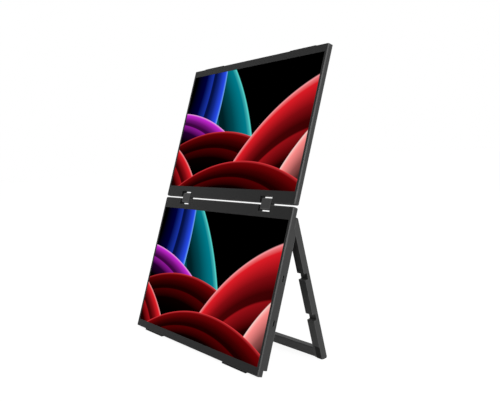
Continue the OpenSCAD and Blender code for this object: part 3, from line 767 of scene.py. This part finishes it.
def plate_arrays(walls, order):
    """Points and faces of a plate.

    Each wall is an outline and its steps of (inset, depth, edge), either one list for the whole
    outline or one for each of its points. Ring k of a wall is the outline moved by its inset along
    the inward direction, at its depth. Quads join the rings, and the first and last rings of all
    the walls together are filled as flat caps. The third number of a step says how much painted
    highlight and rubbing it gets.
    """
    points, faces, fronts, backs = [], [], [], []
    count = 0
    for outline, steps in walls:
        steps = np.asarray(steps, float)
        if steps.ndim == 2:
            steps = np.repeat(steps[:, None], len(outline), 1)
        flat = outline + inwards(outline) * steps[..., :1]
        rings = np.concatenate([flat, steps[..., 1:]], -1)
        across, around = rings.shape[:2]
        index = count + np.arange(across * around).reshape(across, around)
        ahead = np.roll(index, -1, 1)
        quads = np.stack([index[:-1], ahead[:-1], ahead[1:], index[1:]], -1)
        faces += quads.reshape(-1, 4).tolist()
        points.append(rings.reshape(-1, 4))
        fronts.append((flat[0], index[0]))
        backs.append((flat[-1], index[-1]))
        count += across * around
    for ends in (fronts, backs):
        index = np.concatenate([numbers for _, numbers in ends])
        faces += index[cap([ring for ring, _ in ends])].tolist()
    return np.concatenate(points)[:, [*np.argsort(order), 3]], faces


def plate(name, walls, order, place, material, body, replaced):
    """An object from one plate."""
    points, faces = plate_arrays(walls, order)
    return make(name, points, faces, place, material, body, replaced)


def join(parts):
    """Several (points, faces) pairs as one."""
    points, faces, count = [], [], 0
    for part_points, part_faces in parts:
        points.append(part_points)
        faces += [[count + i for i in face] for face in part_faces]
        count += len(part_points)
    return np.concatenate(points), faces


# %% [markdown]
# Some CAD solids are already the whole truth, such as the rear covers with their sockets, keyholes
# and bosses. They stay as they are in shape. A copy is merged into one skin, because the CAD mesh
# is loose triangles, and loses the normals that came with it, so that it can be shaded as the other
# pieces are. Its rounds are found by the way that they face, halfway between two axes, and get the
# painted highlight and the rubbing of edges. The flat faces beside them must stay clean, so a corner
# takes its least tilted face.


# %% Merged copies of CAD solids
SHARP_KEPT = np.radians(25)
WELD_KEPT = 0.001 * MM
FLAT_KEPT = np.radians(0.05)    # faces that turn less than this are one flat face


def mark_edge_wear_and_highlight(mesh, place):
    """Writes how much painted highlight and rubbing each vertex gets: the least tilt of its faces,
    as a share of 45 degrees.

    A face's tilt is the angle between its normal and the nearest of the place's axes.
    """
    normals = np.empty(len(mesh.polygons) * 3)
    mesh.polygons.foreach_get("normal", normals)
    straight = np.abs(normals.reshape(-1, 3) @ place.axes.T).max(1)
    tilt = np.degrees(np.arccos(np.clip(straight, 0, 1))) / 45
    corners = np.empty(len(mesh.loops), int)
    mesh.loops.foreach_get("vertex_index", corners)
    sides = np.empty(len(mesh.polygons), int)
    mesh.polygons.foreach_get("loop_total", sides)
    # edge mask for the painted highlight and the rubbing
    rubbed_and_highlit = np.ones(len(mesh.vertices))
    np.minimum.at(rubbed_and_highlit, corners, np.repeat(tilt, sides))
    mesh.attributes.new("edge", "FLOAT", "POINT").data.foreach_set("value", rubbed_and_highlit)


def keep_shape(node, name, material, body):
    """A merged, smoothly shaded copy of a CAD node that stands for it."""
    mesh = nodes[node].data.copy()
    mesh.name = name
    work = bmesh.new()
    work.from_mesh(mesh)
    bmesh.ops.remove_doubles(work, verts=work.verts, dist=WELD_KEPT)
    bmesh.ops.dissolve_limit(work, angle_limit=FLAT_KEPT, verts=work.verts, edges=work.edges)
    bmesh.ops.triangulate(work, faces=work.faces)
    work.to_mesh(mesh)
    work.free()
    if "custom_normal" in mesh.attributes:
        mesh.attributes.remove(mesh.attributes["custom_normal"])
    mark_edge_wear_and_highlight(mesh, lower)
    thing = bpy.data.objects.new(name, mesh)
    bpy.context.scene.collection.objects.link(thing)
    return dress(shade(thing, SHARP_KEPT), material, body, [node])


# %% [markdown]
# ## Front bezels
# A bezel is a thin plastic frame that laps over the edge of the panel. Seen from the front it is a
# rectangle with two notches for the hinge blocks. Its front edge is not the same all round: the
# free sides have a steep bevel as deep as the bezel, and the hinge side a small 45 degree one. So
# each side of the outline names its edge, and the rings blend from one edge to the next along the
# arc of the corner between them. Cut from a slab with Booleans, the bevels would have to be cut one
# by one, and would meet in sharp mitres at the corners. All the sizes are read from the frame's own
# corners: the notch's are those of the bezel's points near the hinge block.

# %% Measures of a display
CORNER_R = 2.0 * MM
NOTCH_R = 0.35 * MM
WINDOW_R = 0.4 * MM
PANEL_LAP = 1.9 * MM      # panel hidden behind the bezel on each side
NEAR_BLOCK = 5 * MM       # to each side of a hinge block, wider than its slit
NOTCH_ZONE = 14 * MM      # below the display's edge, deeper than the notch

block_low, block_high = lower.measure("hinge_block_right")
bezel_points = lower.local(mesh_points("lower_bezel"))
along_edge, height = bezel_points[:, 0], bezel_points[:, 2]
by_block = (along_edge > block_low[0] - NEAR_BLOCK) & (along_edge < block_high[0] + NEAR_BLOCK)
by_block &= height > display_h - NOTCH_ZONE
notch_x0, notch_x1 = along_edge[by_block].min(), along_edge[by_block].max()
notch_floor = height[by_block].min()
panel_low, panel_high = lower.measure("lower_panel")
window_low = np.array([panel_low[0] + PANEL_LAP, panel_low[2] + PANEL_LAP])
window_high = np.array([panel_high[0] - PANEL_LAP, panel_high[2] - PANEL_LAP])
print("window: %.2f x %.2f mm" % tuple((window_high - window_low) / MM))
print("notch: %.1f mm wide, floor at %.2f mm" % ((notch_x1 - notch_x0) / MM, notch_floor / MM))

# %% Bezel edges, as steps from the front face to the seam: inset and depth in mm, and painted highlight and rubbing
FREE, HINGE, NOTCH = 0, 1, 2        # rows of bezel_edges
UNITS = np.array([MM, MM, 1])
bezel_edges = UNITS * np.array([
    [(0.72, 0.00, 0), (0.56, 0.02, 0.6), (0.47, 0.13, 1), (0.25, 1.10, 1), (0.03, 2.07, 1),
     (0.03, 2.12, 0.5), (0.14, 2.20, 0)],
    [(1.32, 0.00, 0), (1.15, 0.02, 0.4), (1.02, 0.11, 0.5), (0.12, 1.02, 0.5), (0.01, 1.20, 0.3),
     (0.00, 2.10, 0), (0.14, 2.20, 0)],
    [(0.30, 0.00, 0), (0.15, 0.02, 0.3), (0.03, 0.14, 0.3), (0.00, 0.80, 0), (0.00, 1.50, 0),
     (0.00, 2.10, 0), (0.14, 2.20, 0)],
])
window_edge = UNITS * np.array(
    [(0.30, 0.00, 0), (0.10, 0.02, 0), (0.02, 0.10, 0), (0.00, 0.48, 0), (2.00, 0.50, 0),
     (2.00, 2.10, 0), (2.12, 2.20, 0)])


def display_outline():
    """Outline of a display seen from the front, and the edge at each of its points.

    Each corner names the edge of the side after it. Along a corner's arc, the steps go in a
    straight blend from those of the side before it to those of the side after it.
    """
    side, top = half_w, display_h
    near, far, deep = notch_x0, notch_x1, notch_floor
    sides = [
        ((-side, 0), CORNER_R, FREE), ((side, 0), CORNER_R, FREE), ((side, top), CORNER_R, HINGE),
        ((far, top), NOTCH_R, NOTCH), ((far, deep), NOTCH_R, NOTCH),
        ((near, deep), NOTCH_R, NOTCH), ((near, top), NOTCH_R, HINGE),
        ((-near, top), NOTCH_R, NOTCH), ((-near, deep), NOTCH_R, NOTCH),
        ((-far, deep), NOTCH_R, NOTCH), ((-far, top), NOTCH_R, HINGE),
        ((-side, top), CORNER_R, FREE),
    ]
    corners, radii, after = zip(*sides)
    outline, which, along = rounded(corners, radii)
    after = np.array(after)
    before = np.roll(after, 1)
    blend = along[:, None, None]
    steps = (1 - blend) * bezel_edges[before[which]] + blend * bezel_edges[after[which]]
    return outline, steps.transpose(1, 0, 2)


def bezel(which, place, body):
    """The frame round one screen."""
    window = rectangle(window_low, window_high, WINDOW_R)[::-1]
    walls = [display_outline(), (window, window_edge)]
    return plate(which + "_bezel_frame", walls, FACING, place, bezel_plastic, body,
                 [which + "_bezel"])


bezel("lower", lower, "lower_display")
bezel("upper", upper, "upper_display")

# %% [markdown]
# ## Screens
# Behind the bezel lies the panel, a thin sheet of glass and film. Its front carries the picture, so
# it gets a UV map that runs from 0 to 1 across the window, upright on both displays. Unwrapping
# would do for one screen, but the same sum for both gives both the same picture, to the millimetre.

# %% Screens
LIP = 0.5 * MM            # bezel in front of the panel
PANEL_R = 0.5 * MM
PANEL_EDGE = 0.1 * MM


def screen(which, place, body):
    """One panel with the lit picture on its front.

    A point's UV is its distance from the screen's middle, over the window's size, plus a half.
    """
    outline = rectangle(panel_low[[0, 2]], panel_high[[0, 2]], PANEL_R)
    walls = [(outline, round_edges(LIP, panel_high[1], PANEL_EDGE))]
    thing = plate(which + "_screen", walls, FACING, place, screen_picture, body,
                  [which + "_panel"])
    mesh = thing.data
    spots = np.empty(len(mesh.vertices) * 3)
    mesh.vertices.foreach_get("co", spots)
    spots = lower.local(spots.reshape(-1, 3))[:, [0, 2]]
    centre = middle(spots)
    uv = (spots - centre) / (window_high - window_low) + 0.5
    corner_of = np.empty(len(mesh.loops), int)
    mesh.loops.foreach_get("vertex_index", corner_of)
    mesh.uv_layers.new(name="screen").data.foreach_set("uv", uv[corner_of].ravel())
    return thing


screen("lower", lower, "lower_display")
screen("upper", upper, "upper_display")

# %% [markdown]
# ## Rear covers
# The rear covers are the deep halves of the casings. The lower one has the thick housing for the
# electronics, with sockets on one side and keys on the other. Their walls, holes and rounds are all
# in the CAD solid, so building them anew could only bring mistakes, and they are kept.

# %% Rear covers
keep_shape("lower_rear_cover", "lower_rear_shell", cover_plastic, "lower_display")
keep_shape("upper_rear_cover", "upper_rear_shell", cover_plastic, "upper_display")

# %% [markdown]
# ## Hinge blocks
# Each block is a short die-cast bar on two steel shafts, one held by each display. Its long edges
# are well rounded, because it turns inside its notch, and its two bores show at both ends. It is a
# plate seen from the end: an outline with round corners and two holes, carried sideways. A bevelled
# cube would round all its edges alike, and has no bores.

# %% Hinge blocks
BLOCK_R = 2.0 * MM
BLOCK_EDGE = 0.55 * MM
BLOCK_EDGE_LENGTH = 1.6 * MM
BORE_AIR = 0.05 * MM
BORE_EDGE = 0.2 * MM
shaft_low, shaft_high = lower.measure("lower_hinge_shafts")
shaft_r = (shaft_high[2] - shaft_low[2]) / 2
lower_axis = lower.local(joints["lower_axis"]["pos_m"])
upper_axis = lower.local(joints["upper_axis"]["pos_m"])


def hinge_block(side):
    """One hinge block with its two bores.

    Its long edges get the painted highlight and rubbing as well: most in the middle of each corner's
    arc.
    """
    low, high = lower.measure("hinge_block_" + side)
    corners = [(low[1], low[2]), (high[1], low[2]), (high[1], high[2]), (low[1], high[2])]
    outline, _, along = rounded(corners, BLOCK_R)
    steps = round_edges(low[0], high[0], BLOCK_EDGE, BLOCK_EDGE_LENGTH)
    steps = np.repeat(steps[:, None], len(outline), 1)
    # the arcs of the long edges also get the painted highlight
    steps[..., 2] = np.maximum(steps[..., 2], np.sin(np.pi * along))
    walls = [(outline, steps)]
    for axis in (lower_axis, upper_axis):
        bore = circle(axis[1:], shaft_r + BORE_AIR)[::-1]
        walls.append((bore, round_edges(low[0], high[0], BORE_EDGE)))
    return plate("hinge_block_" + side + "_cast", walls, SIDEWAYS, lower, hinge_paint,
                 "hinge_links", ["hinge_block_" + side])


for side in ("left", "right"):
    hinge_block(side)

# %% [markdown]
# ## Legs
# A leg is a flat moulded bar. Its tail rises past the pivot and rests against the back of the
# display, which is what stops the stand as it opens. Two notches in its front face leave room for
# the plugs when the stand is folded. Cutting them out of a bar with Booleans would leave sharp
# rims, so the leg is one outline, drawn from the side in the stand's own place. Two of its corners
# are cut by lines that belong to the display.

# %% Measures of a leg
LEG_EDGE = 0.8 * MM
TAIL_R = 2.6 * MM
TAIL_TIP_R = 0.45 * MM
TAIL_AIR = 0.2 * MM
NOTCH_DEPTH = 5.0 * MM
NOTCH_LENGTH = 9.0 * MM
NOTCH_FLOOR_R = 1.5 * MM
NOTCH_MOUTH_R = 0.6 * MM
SIDE_EDGE = 0.4 * MM
SOLE_COVER = 0.5 * MM     # rubber between the leg's front corner and the floor
LIFT_RUN = 4.5 * MM       # from the front face to where the slanted cut over the floor ends

leg_low, leg_high = stand.measure("leg_right")
leg_x0, leg_x1 = leg_low[0], leg_high[0]
leg_front, leg_rear = leg_low[1], leg_high[1]
leg_end = leg_low[2]
tail_top = lower.measure("leg_right")[1][2]
openings = frame["record"]["physics"]["openings"]
notch_spots = [stand.local(np.mean(opening["box_m"], 0))[2]
               for opening in openings if opening["name"].startswith("right_leg")]
print("leg: %.1f x %.1f mm, notches at" % ((leg_x1 - leg_x0) / MM, (leg_rear - leg_front) / MM),
      np.round(np.array(notch_spots) / MM, 1))


def in_stand(y, z):
    """A point given in the display's (y, z), as (y, z) of the stand's place."""
    return stand.local(lower.world([0, y, z]))[1:]


def floor_height(place, y):
    """Height z, in a place, at which its plane of depth y meets the floor.

    It is the room's height at z = 0, over how fast that height grows with z, taken negative.
    """
    zero = place.world([0, y, 0])[2]
    return -zero / place.axes[2][2]


def leg_outline():
    """Side outline of a leg: end, rear face, tail, front face with its notches.

    A point y, z of the stand's place lies at depth pivot + y cos a - z sin a in the display's
    place, and at height pivot + y sin a + z cos a, where a is the stand's angle. Solved for z, the
    first says where the front face meets the display's back, and the second how high the rear
    face goes.
    """
    behind = body_t + TAIL_AIR
    sin, cos = np.sin(stand_open), np.cos(stand_open)
    front_cut = (pivot[1] + cos * leg_front - behind) / sin
    top_cut = (tail_top - pivot[2] - sin * leg_rear) / cos
    corners = [(leg_rear, leg_end), (leg_rear, top_cut), in_stand(behind, tail_top),
               (leg_front, front_cut)]
    radii = [LEG_EDGE, TAIL_R, TAIL_TIP_R, NOTCH_FLOOR_R]
    for spot in sorted(notch_spots, reverse=True):
        top, bottom = spot + NOTCH_LENGTH / 2, spot - NOTCH_LENGTH / 2
        floor = leg_front + NOTCH_DEPTH
        corners += [(leg_front, top), (floor, top), (floor, bottom), (leg_front, bottom)]
        radii += [NOTCH_MOUTH_R, NOTCH_FLOOR_R, NOTCH_FLOOR_R, NOTCH_MOUTH_R]
    front_end = floor_height(stand, leg_front) + SOLE_COVER
    corners += [(leg_front, front_end), (leg_front + LIFT_RUN, leg_end)]
    radii += [LEG_EDGE, LEG_EDGE]
    return rounded(corners, radii)[0]


def leg(side, sign):
    """One leg."""
    low, high = sorted((sign * leg_x0, sign * leg_x1))
    walls = [(leg_outline(), round_edges(low, high, SIDE_EDGE))]
    return plate("leg_" + side + "_bar", walls, SIDEWAYS, stand, stand_plastic, "stand",
                 ["leg_" + side])


leg("right", 1)
leg("left", -1)

# %% [markdown]
# ## Foot bar and rubber
# The foot bar joins the legs near the floor, with its front face set back a little behind theirs.
# Each leg ends in a rubber pad that wraps its lower front corner. The pad is cut square, but for a
# facet at its front corner that lies flat on the floor. The facet isn't typed in: it lies where the
# floor cuts the pad's outline, and so it stays flat whatever the stand's angle is.

# %% Foot bar
bar_low, bar_high = stand.measure("foot_bar")
bar_outline = rectangle(bar_low[1:], bar_high[1:], LEG_EDGE)
plate("foot_bar_beam", [(bar_outline, round_edges(-leg_x0, leg_x0, SIDE_EDGE))], SIDEWAYS, stand,
      stand_plastic, "stand", ["foot_bar"])

# %% Rubber pads
PAD_PROUD = 0.15 * MM     # how far it stands out of the leg's front face
PAD_INSET = 0.15 * MM     # how far its outer end lies inside the display's side
PAD_SUNK = 0.9 * MM       # how deep its cap goes into the leg's front
PAD_ABOVE = 0.7 * MM      # how deep its sole goes into the leg's end
PAD_EDGE = 0.25 * MM
PAD_CORNERS = MM * np.array([0.5, 0.5, 0.4, 0.3, 0.3, 0.3, 0.5])


def pad(sign):
    """Points and faces of the pad on one leg: a cap on its front and a sole under it.

    The facet starts where the front face meets the floor, and ends where the floor, which falls
    away behind the leg, is as low as the pad's own end.
    """
    low, high = stand.measure("leg_pads")
    front, sole_back = leg_front - PAD_PROUD, high[1]
    sole_top = leg_end + PAD_ABOVE
    toe = floor_height(stand, front)
    fall = floor_height(stand, 0) - floor_height(stand, 1)
    corners = [
        (front, toe), (front + (toe - low[2]) / fall, low[2]), (sole_back, low[2]),
        (sole_back, sole_top), (front + PAD_SUNK, sole_top), (front + PAD_SUNK, high[2]),
        (front, high[2]),
    ]
    outline = rounded(corners, PAD_CORNERS)[0]
    inner = np.abs(stand.local(mesh_points("leg_pads"))[:, 0]).min()
    x0, x1 = sorted((sign * inner, sign * (half_w - PAD_INSET)))
    return plate_arrays([(outline, round_edges(x0, x1, PAD_EDGE))], SIDEWAYS)


points, faces = join([pad(1), pad(-1)])
make("leg_pads_rubber", points, faces, stand, black_rubber, "stand", ["leg_pads"])

# %% [markdown]
# ## Small pieces that stay as they are
# The foot strips are plain bars cut from rubber, and the stand's ears and pins have true rounds in
# the CAD solids already. They are merged copies too, because loose triangles would shade as facets.

# %% Foot strips, ears and pins
kept = [
    ("lower_feet", "lower_foot_strips", black_rubber, "lower_display", "rubber"),
    ("upper_feet", "upper_foot_strips", black_rubber, "upper_display", "rubber"),
    ("stand_ear_left", "stand_ear_left_cast", ear_paint, "lower_display", "ear_metal"),
    ("stand_ear_right", "stand_ear_right_cast", ear_paint, "lower_display", "ear_metal"),
    ("stand_pins", "stand_pins_turned", plain_steel, "lower_display", "steel"),
]
for node, name, material, body, slot in kept:
    keep_shape(node, name, material, body)

# %% [markdown]
# ## Inner pieces
# The panels' backlights, the boards, sockets, keys, brackets, shafts and screws keep their CAD mesh.
# Each came with a plain material named after its slot, so one loop finds every finish by name.
# Setting them one by one would take a line for each piece, and could miss one.

# %% Materials for the CAD nodes that stay
finishes = {
    "light_guide": light_guide_acrylic, "led": led_laminate, "tray_metal": tray_sheet,
    "circuit_board": board_green, "socket_metal": socket_nickel, "steel": plain_steel,
    "black_screws": black_steel, "key_plastic": key_plastic, "rubber": black_rubber,
    "ear_metal": ear_paint, "hinge_metal": hinge_paint, "stand_plastic": stand_plastic,
    "cover_plastic": cover_plastic, "bezel_plastic": bezel_plastic, "screen": screen_picture,
}
for thing in nodes.values():
    for number, plain in enumerate(thing.data.materials):
        thing.data.materials[number] = finishes[plain.name.split(".")[0]]
print("finishes:", len(finishes))

# %% [markdown]
# ## Floor and light
# The object stands on white. More light on a pale floor would whiten it, but would wash out the
# dark plastic as well. So the world and the floor are white only where the camera or a reflection
# sees them, while the light that falls on the object stays at a plain level. The floor still
# darkens a little under the object, so that it stands on something.

# %% Floor
IS_CAMERA, IS_GLOSSY, IS_TRANSMISSION = 0, 3, 6     # outputs of the Light Path node
FLOOR_GLOW = 0.93
FLOOR_GREY = 0.16
FLOOR_SIZE = 12.0


def looked_at(shader):
    """1 to the camera, to reflections and through glass, and 0 to the light on the object."""
    camera_ray, glossy, through = [shader.node("ShaderNodeLightPath", output=number)
                                   for number in (IS_CAMERA, IS_GLOSSY, IS_TRANSMISSION)]
    return (camera_ray + glossy + through).clamp()


def white_floor():
    """A floor that looks white, and shows a soft shadow."""
    shader = Shader("floor")
    glow = shader.node("ShaderNodeEmission", {}, {"Strength": looked_at(shader) * FLOOR_GLOW})
    matt = shader.node("ShaderNodeBsdfDiffuse", {}, {"Color": grey(FLOOR_GREY)})
    return shader.close(shader.node("ShaderNodeAddShader", {}, {0: glow, 1: matt}))


floor_corners = FLOOR_SIZE / 2 * np.array([(-1, -1, 0), (1, -1, 0), (1, 1, 0), (-1, 1, 0)])
floor_mesh = bpy.data.meshes.new("floor")
floor_mesh.from_pydata(floor_corners.tolist(), [], [(0, 1, 2, 3)])
floor_mesh.materials.append(white_floor())
floor = bpy.data.objects.new("floor", floor_mesh)
bpy.context.scene.collection.objects.link(floor)
floor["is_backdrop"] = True

# %% World
WORLD_LIGHT = 0.45


def white_world():
    """White to the camera, to reflections and through glass, and a plain light to the rest."""
    shader = Shader("world", bpy.data.worlds, "ShaderNodeOutputWorld")
    strength = looked_at(shader) * (1 - WORLD_LIGHT) + WORLD_LIGHT
    sky = shader.node("ShaderNodeBackground", {}, {"Color": grey(1.0), "Strength": strength})
    return shader.close(sky)


bpy.context.scene.world = white_world()

# %% [markdown]
# Three soft lamps give the dark casing its shape. A tall narrow strip on the right draws the light
# line down the displays' side edges, a weak large one lifts the fronts, and another the backs.
# Spot lamps would do it too, but leave hard shadows and small hot highlights.

# %% Lamps
TARGET = np.array([0, 0, 0.2])


def softbox(name, azimuth, elevation, distance, size, power):
    """A rectangular soft lamp aimed at the object."""
    data = bpy.data.lights.new(name, "AREA")
    data.shape = "RECTANGLE"
    data.size, data.size_y = size
    data.energy = power
    backwards = look_back(np.radians(azimuth), np.radians(elevation))
    lamp = bpy.data.objects.new(name, data)
    lamp.matrix_world = aim(TARGET + backwards * distance, backwards)
    bpy.context.scene.collection.objects.link(lamp)
    print("%s: %g x %g m, %g W" % (name, *size, power))


softbox("edge_strip", azimuth=97, elevation=4, distance=2.6, size=(0.4, 2.2), power=55)
softbox("front_softbox", azimuth=20, elevation=45, distance=2.6, size=(1.4, 1.2), power=8)
softbox("rear_softbox", azimuth=215, elevation=40, distance=2.4, size=(1.4, 1.2), power=9)

# %% Sizes and finish
made_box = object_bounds()
for name, (low, high) in (("cad", cad_box), ("model", made_box)):
    print(name, "box (mm):", [round((b - a) / MM, 2) for a, b in zip(low, high)])
